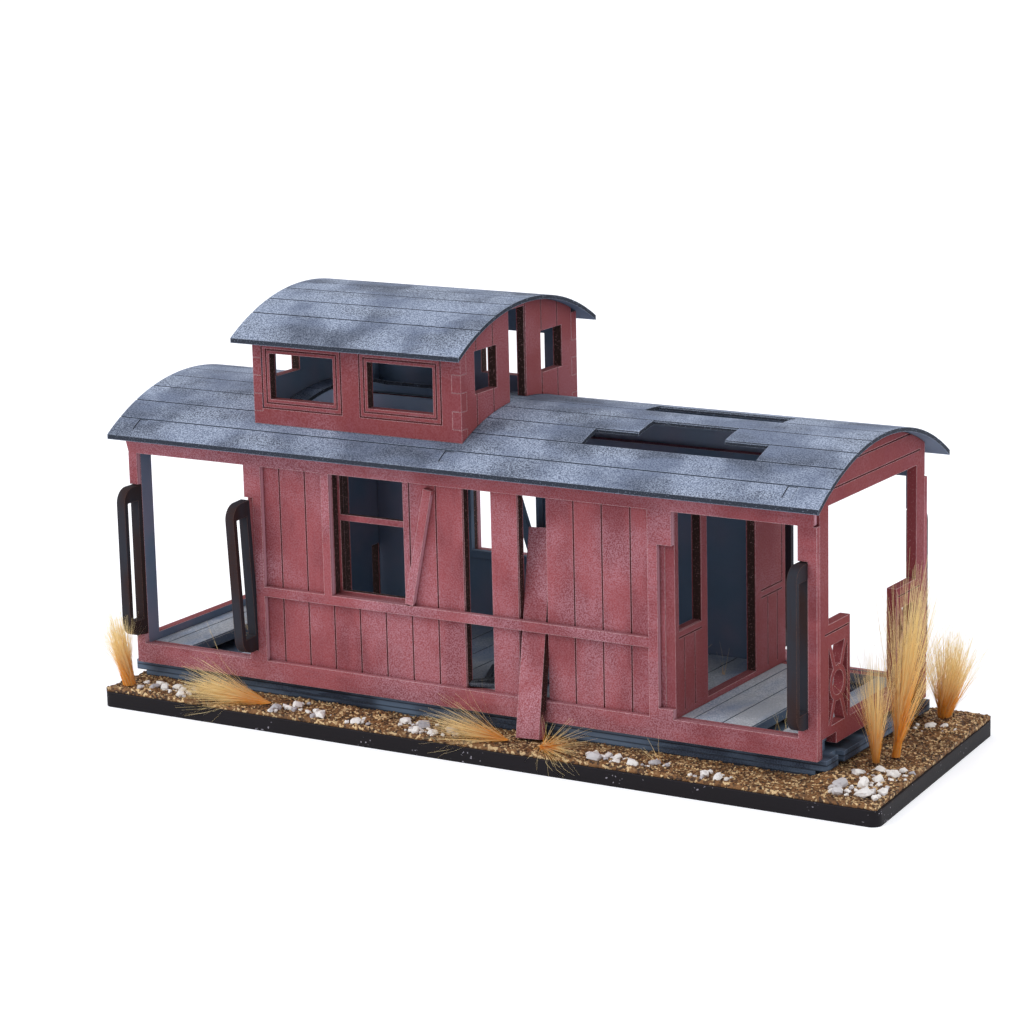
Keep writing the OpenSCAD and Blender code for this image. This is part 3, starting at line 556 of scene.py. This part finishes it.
class CABOOSE_OT_paint(bpy.types.Operator):
    """Paints the cut boards of the car and the base"""

    bl_idname = "caboose.paint"
    bl_label = "Paint the car"

    def execute(self, context):
        paint = settings("caboose_paint")
        wall = {"face": paint.wall, "dust": paint.wall_dust, "deep": paint.wall_deep, "rub": paint.wall_rub,
                "cut": paint.cut, "inside": paint.inside}
        for name, outward in WALLS.items():
            finish = {"dustiness": 0.8 if name == "fallen_plank" else 0.6}
            if "lookout" in name or outward in (LEFT, RIGHT):
                finish = {"face": paint.lookout, "dustiness": 0.3}
            self.board(name, **{**wall, **finish}, outward=outward, outline=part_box(name))
        for name, outward in FRAMES.items():
            finish = {"dustiness": 0.7, "cut": paint.wall_dust, "inside": paint.inside_pale}
            if outward in (LEFT, RIGHT):
                finish = {"dustiness": 0.2, "cut": paint.wall_deep, "face": paint.lookout}
            self.board(name, **{**wall, **finish}, outward=outward, outline=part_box(name),
                       along="x" if "side" in name else "z", rubbing=1.0, grain=0.5)
        self.board("front_window_lining", **wall, outward=FRONT)

        roof = {"face": paint.roof, "dust": paint.roof_dust, "deep": paint.roof_deep, "rub": paint.roof_dust,
                "cut": paint.eaves, "inside": paint.inside, "outward": UP, "along": "x", "dustiness": 0.8}
        for name in ("main_roof", "lookout_roof"):
            self.board(name, **roof)
        # the tabs' edges take the blue-black of the roof's cut edges, a dark outline round each tab
        self.board("roof_tabs", **{**roof, "rub": paint.eaves}, rubbing=1.0, edge_mm=0.45)

        dark = {"face": paint.chassis, "dust": paint.chassis_rub, "deep": paint.inside,
                "rub": paint.chassis_rub, "along": "x", "dustiness": 0.22, "rubbing": 0.7}
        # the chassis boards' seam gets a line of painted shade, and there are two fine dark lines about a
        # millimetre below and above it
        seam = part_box("upper_chassis")[0].z / MM
        for name in ("lower_chassis", "upper_chassis", "floor_bearers", "roof_ribs"):
            self.board(name, **dark, seams=(seam, seam - 1, seam + 1.1))
        for name in ("back_window_lining", "back_batten"):
            self.board(name, paint.inside, paint.chassis, paint.cut, paint.rail_rub, dustiness=0.2,
                       rubbing=0.4)
        deck = {"face": paint.deck, "dust": paint.deck_rub, "deep": paint.chassis_rub, "rub": paint.deck_rub,
                "cut": paint.inside, "inside": paint.inside, "outward": UP, "along": "y", "dustiness": 0.75}
        self.board("floor_deck", **deck)
        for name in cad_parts:
            if "grab_rail" in name:
                self.board(name, paint.rail, paint.chassis, paint.cut, paint.rail_rub, dustiness=0.25,
                           rubbing=0.6)
        self.assign("base_board", base_edge())
        return {"FINISHED"}

    def board(self, name, *colours, **finish):
        """Paints a CAD node as a board, with a material of its own."""
        self.assign(name, painted_board(name + "_paint", *colours, **finish))

    @staticmethod
    def assign(name, material):
        """Puts a material in every slot of a CAD node."""
        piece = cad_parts[name]
        for slot in piece.material_slots:
            slot.material = material


class CABOOSE_OT_ballast(bpy.types.Operator):
    """Lays the uneven ballast bed and scatters its grains"""

    bl_idname = "caboose.ballast"
    bl_label = "Lay the ballast"

    # heaps of ballast: x, y, height and reach, in millimetres
    heaps = ((-30, -25.2, 1.5, 4.5), (-24, -23.8, 1.2, 4), (71.5, -20.5, 1.6, 5), (77, -16, 0.7, 7),
             (-77, -27, 0.7, 6), (76, 20, 0.8, 8), (34, -26, 0.5, 7), (-50, -25, 0.5, 7))

    def execute(self, context):
        ground = settings("caboose_ground")
        low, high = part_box("gravel_bed")
        inner_low, inner_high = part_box("lower_chassis")
        size = high - low
        bpy.ops.mesh.primitive_grid_add(x_subdivisions=round(size.x / ground.cell),
                                        y_subdivisions=round(size.y / ground.cell), size=1,
                                        location=((low.x + high.x) / 2, (low.y + high.y) / 2, high.z))
        bed = bpy.context.object
        bed.scale = (size.x, size.y, 1)
        bpy.ops.object.transform_apply(location=True, rotation=True, scale=True)
        margin = 0.3 * MM
        corner, slant = right_end()
        edit(bed)
        select_points(bed, lambda p: inner_low.x + margin < p.x < inner_high.x - margin
                      and inner_low.y + margin < p.y < inner_high.y - margin)
        bpy.ops.mesh.delete(type="VERT")
        bpy.ops.mesh.select_all(action="SELECT")
        bpy.ops.mesh.bisect(plane_co=corner - slant * 0.5 * MM, plane_no=slant, clear_outer=True)
        for x, y, rise, reach in self.heaps:
            select_points(bed, lambda p: (p.x - x * MM) ** 2 + (p.y - y * MM) ** 2 < ground.cell ** 2)
            bpy.ops.transform.translate(value=(0, 0, rise * MM), use_proportional_edit=True,
                                        proportional_edit_falloff="SMOOTH", proportional_size=reach * MM)
        self.skirt(bed, low.z)
        done()
        for name, scale_mm, share in (("swell", 3.5, 1.0), ("grit", 0.8, 0.9)):
            texture = bpy.data.textures.new(name, "CLOUDS")
            texture.noise_scale = scale_mm * MM
            push = bed.modifiers.new(name, "DISPLACE")
            push.texture = texture
            push.texture_coords = "LOCAL"
            push.direction = "Z"
            push.mid_level = 0.45
            push.strength = ground.roughness * 2 * share
            push.vertex_group = "top"
        apply_modifiers(bed)
        bpy.ops.object.shade_smooth()
        bed = settle(bed, "ballast_bed", ballast_material("ballast_ground", False), ["gravel_bed"])
        self.scatter(bed, ground, low.z)
        return {"FINISHED"}

    @staticmethod
    def skirt(bed, foot):
        """Closes the bed: its rims go straight down to the base."""
        group = bed.vertex_groups.new(name="top")
        done()
        group.add([v.index for v in bed.data.vertices], 1.0, "REPLACE")
        bpy.ops.object.mode_set(mode="EDIT")
        bpy.ops.mesh.select_mode(type="EDGE")
        bpy.ops.mesh.select_all(action="DESELECT")
        bpy.ops.mesh.select_non_manifold(extend=False, use_wire=False, use_boundary=True,
                                         use_multi_face=False, use_non_contiguous=False, use_verts=False)
        bpy.ops.mesh.extrude_edges_move()
        bpy.ops.mesh.select_mode(type="VERT")
        done()
        rim = [v.index for v in bed.data.vertices if v.select]
        group.remove(rim)
        for index in rim:
            bed.data.vertices[index].co.z = foot
        bpy.ops.object.mode_set(mode="EDIT")

    def scatter(self, bed, ground, foot):
        """Glues loose grains on to the bed's top, without its rims, then realizes them as one mesh."""
        bpy.ops.mesh.primitive_ico_sphere_add(subdivisions=1, radius=0.5)
        grain = bpy.context.object
        edit(grain)
        bpy.ops.mesh.select_all(action="SELECT")
        bpy.ops.transform.vertex_random(offset=0.09, seed=SEED)
        done()
        tree = bpy.data.node_groups.new("scatter_grains", "GeometryNodeTree")
        tree.interface.new_socket("Geometry", in_out="INPUT", socket_type="NodeSocketGeometry")
        tree.interface.new_socket("Geometry", in_out="OUTPUT", socket_type="NodeSocketGeometry")
        entry = node(tree, "NodeGroupInput")
        upward = node(tree, AXES, {0: node(tree, "GeometryNodeInputNormal")}, "Z")
        level = node(tree, "FunctionNodeCompare", {0: upward, 1: 0.5})
        points = node(tree, "GeometryNodeDistributePointsOnFaces",
                      {"Mesh": entry, "Density": ground.grains * PER_CM2, "Seed": SEED, "Selection": level})
        kind = node(tree, "GeometryNodeObjectInfo", {"Object": grain}, "Geometry")
        turn = node(tree, RANDOM, {0: (0, 0, 0), 1: (math.tau,) * 3}, data_type="FLOAT_VECTOR")
        size = node(tree, RANDOM, {2: ground.grain * 0.6, 3: ground.grain * 1.5, "Seed": 1}, 1)
        placed = node(tree, "GeometryNodeInstanceOnPoints",
                      {"Points": points, "Instance": kind, "Rotation": turn, "Scale": size})
        shade = node(tree, RANDOM, {2: 0.0, 3: 1.0, "Seed": 2}, 1)
        stored = node(tree, "GeometryNodeStoreNamedAttribute",
                      {"Geometry": placed, "Name": "shade", "Value": shade}, domain="INSTANCE")
        node(tree, "NodeGroupOutput", {0: node(tree, "GeometryNodeRealizeInstances", {0: stored})})
        grains = bpy.data.objects.new("ballast_grains", bed.data.copy())
        bpy.context.scene.collection.objects.link(grains)
        edit(grains)
        select_points(grains, lambda p: p.z < foot + 0.01 * MM)
        bpy.ops.mesh.delete(type="VERT")
        done()
        modifier = grains.modifiers.new("scatter", "NODES")
        modifier.node_group = tree
        apply_modifiers(grains)
        remove(grain)
        settle(grains, "ballast_grains", ballast_material("ballast_grain", True))


class CABOOSE_OT_stones(bpy.types.Operator):
    """Sets limestone chips where the model has its stones, with smaller ones round them"""

    bl_idname = "caboose.stones"
    bl_label = "Set the stones"

    # more stones heaped behind the left tufts, in millimetres
    heap = ((-77.5, -26.2), (-75, -24.8), (-72.8, -26.6), (-70.6, -25), (-68.4, -26.4), (-66.2, -24.8))
    heap_reach = 0.95
    around = 6  # smaller stones round each

    def execute(self, context):
        rng = random.Random(SEED)
        kinds = [self.chip(seed) for seed in range(4)]
        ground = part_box("gravel_bed")[1].z
        chips = []
        places = []
        for solid in islands("stones"):
            centre = middle(solid)
            places.append((centre.x, centre.y, (max(p.x for p in solid) - min(p.x for p in solid)) / 2))
        places += [(x * MM, y * MM, self.heap_reach * MM) for x, y in self.heap]
        for x, y, reach in places:
            self.place(chips, rng, kinds, x, y, ground, reach)
            for _ in range(self.around):
                angle = rng.uniform(0, math.tau)
                off = reach * rng.uniform(0.9, 2.8)
                self.place(chips, rng, kinds, x + off * math.cos(angle), y + off * math.sin(angle), ground,
                           reach * rng.uniform(0.25, 0.6))
        stones = join(chips)
        remove(*kinds)
        settle(stones, "limestone_chips", limestone(), ["stones"])
        return {"FINISHED"}

    @staticmethod
    def chip(seed):
        """One broken chip of about unit radius: a cube knocked out of shape, with its corners taken off."""
        deselect()
        bpy.ops.mesh.primitive_cube_add(size=1.5)
        piece = bpy.context.object
        piece.name = "chip"
        edit(piece)
        bpy.ops.mesh.select_all(action="SELECT")
        bpy.ops.mesh.subdivide(number_cuts=1, smoothness=0.35)
        bpy.ops.transform.vertex_random(offset=0.42, seed=seed + 1)
        done()
        bevel = piece.modifiers.new("worn", "BEVEL")
        bevel.width = 0.07
        bevel.segments = 1
        apply_modifiers(piece)
        return piece

    @staticmethod
    def place(chips, rng, kinds, x, y, ground, reach):
        """Adds a turned chip half sunk in the ballast, unless it would overhang the base."""
        if not on_base(x, y, reach + 0.4 * MM):
            return
        size = Vector((rng.uniform(0.85, 1.15), rng.uniform(0.7, 0.95), rng.uniform(0.6, 0.85)))
        size = size * reach * 0.92
        turn = Euler((rng.uniform(-0.5, 0.5), rng.uniform(-0.5, 0.5), rng.uniform(0, math.tau)))
        matrix = Matrix.LocRotScale(Vector((x, y, ground + 0.42 * reach)), turn, size)
        chips.append(copy_at(rng.choice(kinds), matrix, rng.random()))


class CABOOSE_OT_grass(bpy.types.Operator):
    """Plants tufts of long dry fibres"""

    bl_idname = "caboose.grass"
    bl_label = "Plant the grass"

    # direction, length, spread in degrees, fibres, radius at the root; millimetres, in order from the left
    tufts = (
        ((-0.26, 0.02, 1), 15.5, 13, 380, 1.3),
        ((-1, -0.12, 0.12), 20, 17, 560, 0.7),
        ((-1, -0.14, 0.14), 17, 24, 230, 0.7),
        ((0.8, -0.4, 0.08), 11, 40, 150, 0.7),
        ((0.14, -0.04, 1), 18, 21, 620, 1.3),
        ((0.04, -0.12, 1), 22, 9, 220, 0.6),
        ((0.1, 0.09, 1), 37, 13, 420, 0.8),
    )
    # place, and a row as above, of the small tufts and single blades on the floors and the ballast
    strays = (
        ((-59, -5, 7.2), ((-0.55, -0.2, 1), 11, 24, 420, 1.6)),
        ((57, -12, 7.2), ((0.1, 0.1, 1), 6, 40, 14, 2.0)),
        ((27, -2, 11), ((0.7, 0.9, 0.8), 14, 12, 3, 0.6)),
        ((33, 10, 11), ((-0.4, 1, 0.25), 13, 16, 3, 0.8)),
        ((-1.5, -12, 11), ((0.05, 0, 1), 9, 13, 14, 0.7)),
        ((-66, -17.5, 9), ((-0.5, 0.1, 1), 9, 25, 3, 1.0)),
        ((-81, -17, 3.8), ((-0.3, 0.1, 1), 5, 30, 30, 0.6)),
        ((39, -25.5, 3.8), ((-0.4, -0.4, 1), 6, 30, 10, 0.6)),
    )

    # how far fibres may hang over the base along x and y, and how far over the table they stay
    overhang = (3.5, 1.2)
    clearance = 0.3

    def execute(self, context):
        grass = settings("caboose_grass")
        rng = random.Random(SEED)
        kinds = [self.fibre(grass, bend) for bend in (0, 18, 42)]
        roots = []
        for solid in islands("grass_tufts"):
            foot = min(p.z for p in solid)
            roots.append(middle([p for p in solid if p.z < foot + 0.8 * MM]))
        rows = [(root / MM, row) for root, row in zip(roots, self.tufts)]
        fibres = [fibre for at, row in (*rows, *self.strays)
                  for fibre in self.tuft(at, *row, kinds, rng, grass.amount)]
        tuft = join(fibres)
        remove(*kinds)
        self.keep_clear(tuft)
        settle(tuft, "dry_grass", grass_fibre(), ["grass_tufts"])
        return {"FINISHED"}

    @staticmethod
    def fibre(grass, bend):
        """One fibre, a metre long and upright: a three-sided taper, cut along its length and bent."""
        deselect()
        bpy.ops.mesh.primitive_cone_add(vertices=3, radius1=grass.thick / 2, radius2=grass.thick / 7, depth=1,
                                        location=(0, 0, 0.5))
        piece = bpy.context.object
        piece.name = "fibre"
        bpy.ops.object.transform_apply(location=True, rotation=False, scale=False)
        edit(piece)
        bpy.ops.mesh.select_all(action="SELECT")
        for height in (0.25, 0.5, 0.75):
            bpy.ops.mesh.bisect(plane_co=(0, 0, height), plane_no=(0, 0, 1))
            bpy.ops.mesh.select_all(action="SELECT")
        done()
        give_attribute(piece, "along", lambda p: p.z)
        swing = math.radians(bend)
        edit(piece)
        for height in (1, 0.75, 0.5, 0.25):
            select_points(piece, lambda p: abs(p.z - height) < 0.01)
            pull = 0.6 * height ** 2
            bpy.ops.transform.translate(value=(math.sin(swing) * pull, 0, (math.cos(swing) - 1) * pull))
        done()
        return piece

    @staticmethod
    def tuft(at, lean, length, spread, fibres, root, kinds, rng, amount):
        """Fibres from one root, thrown about the tuft's lean."""
        upright = Vector(lean).normalized().to_track_quat("Z", "Y").to_matrix().to_4x4()
        made = []
        for _ in range(max(1, round(fibres * amount))):
            tilt = math.radians(spread) * min(abs(rng.gauss(0, 0.6)), 1.2)
            turn = rng.uniform(0, math.tau)
            reach = length * rng.triangular(0.5, 1.08, 0.8) * MM
            off = Vector((math.cos(turn), math.sin(turn), 0)) * root * rng.random() ** 0.5
            aim = Matrix.Rotation(turn, 4, "Z") @ Matrix.Rotation(tilt, 4, "Y")
            spin = Matrix.Rotation(rng.gauss(0, 0.7), 4, "Z")
            place = Matrix.Translation((Vector(at) + off) * MM) @ upright @ aim @ spin
            piece = copy_at(rng.choices(kinds, (5, 3, 1))[0], Matrix(), 0)
            for vertex in piece.data.vertices:
                if abs(vertex.co.x) > 2 * MM:  # a bend grows with the length, and the thickness doesn't
                    vertex.co.x *= reach
            piece.data.transform(place @ Matrix.Diagonal((1, 1, reach, 1)))
            give_attribute(piece, "shade", rng.random())
            made.append(piece)
        return made

    def keep_clear(self, tuft):
        """Keeps fibre points over the ballast and the table, and near the base."""
        low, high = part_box("base_board")
        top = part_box("gravel_bed")[1].z
        for vertex in tuft.data.vertices:
            over = low.x < vertex.co.x < high.x and low.y < vertex.co.y < high.y
            vertex.co.z = max(vertex.co.z, top if over else self.clearance * MM)
            for axis, hang in enumerate(self.overhang):
                nearest = max(vertex.co[axis], low[axis] - hang * MM)
                vertex.co[axis] = min(nearest, high[axis] + hang * MM)


class CABOOSE_OT_debris(bpy.types.Operator):
    """Drops broken sticks on the cabin floor"""

    bl_idname = "caboose.debris"
    bl_label = "Drop the debris"

    # x, y, height over the floor, length, turn and tilt in degrees; millimetres
    sticks = ((-4.5, -14.5, 0.6, 9, 62, 4), (-3, -17.2, 0.5, 7, 20, 3), (-6.5, -10, 0.6, 8, 110, -5),
              (2, -8, 0.5, 11, 150, 2))

    def execute(self, context):
        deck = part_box("floor_deck")[1].z
        made = []
        for x, y, z, size, turn, tilt in self.sticks:
            deselect()
            bpy.ops.mesh.primitive_cube_add(size=1, location=(x * MM, y * MM, deck + z * MM),
                                            rotation=(0, math.radians(tilt), math.radians(turn)))
            stick = bpy.context.object
            stick.scale = (size * MM, 1.1 * MM, 0.8 * MM)
            bpy.ops.object.transform_apply(location=True, rotation=True, scale=True)
            bevel = stick.modifiers.new("edge", "BEVEL")
            bevel.width = 0.12 * MM
            apply_modifiers(stick)
            made.append(stick)
        paint = settings("caboose_paint")
        material = painted_board("broken_stick", paint.chassis, paint.deck, paint.rail, paint.deck, along="x")
        settle(join(made), "broken_sticks", material)
        return {"FINISHED"}


class CABOOSE_OT_stage(bpy.types.Operator):
    """Sets the floor, the lights and the camera"""

    bl_idname = "caboose.stage"
    bl_label = "Set the stage"

    # name, share of the key light, size and place in metres
    lamps = (("key", 1.0, 0.45, (-0.42, -0.5, 0.62)), ("rim", 0.22, 0.5, (0.5, 0.15, 0.5)))

    def execute(self, context):
        stage = settings("caboose_stage")
        deselect()
        bpy.ops.mesh.primitive_plane_add(size=6)
        floor = context.object
        floor.name = "floor"
        floor.data.materials.append(self.white_floor())
        self.sky(stage.fill)
        for name, share, size, place in self.lamps:
            self.lamp(name, stage.key * share, size, place)
        camera = bpy.data.objects.new("camera", bpy.data.cameras.new("camera"))
        context.scene.collection.objects.link(camera)
        camera.data.lens = stage.focal
        camera.data.sensor_width = 36
        camera.data.clip_start = 0.01
        tip = Matrix.Rotation(math.pi / 2 - stage.elevation, 4, "X")
        turn = Matrix.Rotation(stage.azimuth, 4, "Z") @ tip @ Matrix.Rotation(stage.roll, 4, "Z")
        camera.matrix_world = Matrix.Translation(stage.place) @ turn
        context.scene.camera = camera
        context.scene.view_settings.view_transform = "Standard"
        return {"FINISHED"}

    @staticmethod
    def lamp(name, power, size, place):
        """A large soft lamp aimed at the middle of the car."""
        light = bpy.data.lights.new(name, "AREA")
        light.energy = power
        light.size = size
        lamp = bpy.data.objects.new(name, light)
        bpy.context.scene.collection.objects.link(lamp)
        aim = Vector((0, 0, 0.04)) - Vector(place)
        lamp.matrix_world = Matrix.Translation(place) @ aim.to_track_quat("-Z", "Y").to_matrix().to_4x4()

    @staticmethod
    def seen_by(tree):
        """1 for rays that show the background: straight, in gloss and through glass."""
        seen = 0.0
        for ray in ("Is Camera Ray", "Is Glossy Ray", "Is Transmission Ray"):
            path = node(tree, "ShaderNodeLightPath", out=ray)
            seen = node(tree, MATH, {0: seen, 1: path}, operation="MAXIMUM")
        return seen

    def white_floor(self):
        """Paper white, lifted to full white where it is seen, so that only the shadow shows."""
        material, tree, shader = new_material("paper_floor")
        shader.inputs["Base Color"].default_value = (*srgb("#e9ebf2"), 1)
        shader.inputs["Roughness"].default_value = 1
        shader.inputs["Specular IOR Level"].default_value = 0
        shader.inputs["Emission Color"].default_value = (1, 1, 1, 1)
        glow = node(tree, MATH, {0: self.seen_by(tree), 1: 0.42}, **TIMES)
        tree.links.new(glow, shader.inputs["Emission Strength"])
        return material

    def sky(self, strength):
        """Even light all round, and white where it is seen."""
        world = bpy.data.worlds.new("studio")
        bpy.context.scene.world = world
        world.use_nodes = True
        tree = world.node_tree
        background = tree.nodes["Background"]
        background.inputs["Color"].default_value = (1, 1, 1, 1)
        light = node(tree, MAP, {0: self.seen_by(tree), 3: strength}, **SMOOTH)
        tree.links.new(light, background.inputs["Strength"])


# ---------------------------------------------------------------- add-on

STEPS = (CABOOSE_OT_paint, CABOOSE_OT_ballast, CABOOSE_OT_stones, CABOOSE_OT_grass, CABOOSE_OT_debris,
         CABOOSE_OT_stage)
GROUPS = {"caboose_paint": CaboosePaint, "caboose_ground": CabooseGround, "caboose_grass": CabooseGrass,
          "caboose_stage": CabooseStage}


class CABOOSE_PT_steps(bpy.types.Panel):
    """Lists the steps that dress the model"""

    bl_idname = "CABOOSE_PT_steps"
    bl_label = "Caboose"
    bl_space_type = "VIEW_3D"
    bl_region_type = "UI"
    bl_category = "Caboose"

    def draw(self, context):
        for step in STEPS:
            self.layout.operator(step.bl_idname)


def register():
    for group in (*GROUPS.values(), *STEPS, CABOOSE_PT_steps):
        bpy.utils.register_class(group)
    for name, group in GROUPS.items():
        setattr(bpy.types.Scene, name, PointerProperty(type=group))


def unregister():
    for name in GROUPS:
        delattr(bpy.types.Scene, name)
    for group in (CABOOSE_PT_steps, *reversed(STEPS), *GROUPS.values()):
        bpy.utils.unregister_class(group)


def main():
    register()
    for step in STEPS:
        family, action = step.bl_idname.split(".")
        getattr(getattr(bpy.ops, family), action)()


if __name__ == "__main__":
    main()
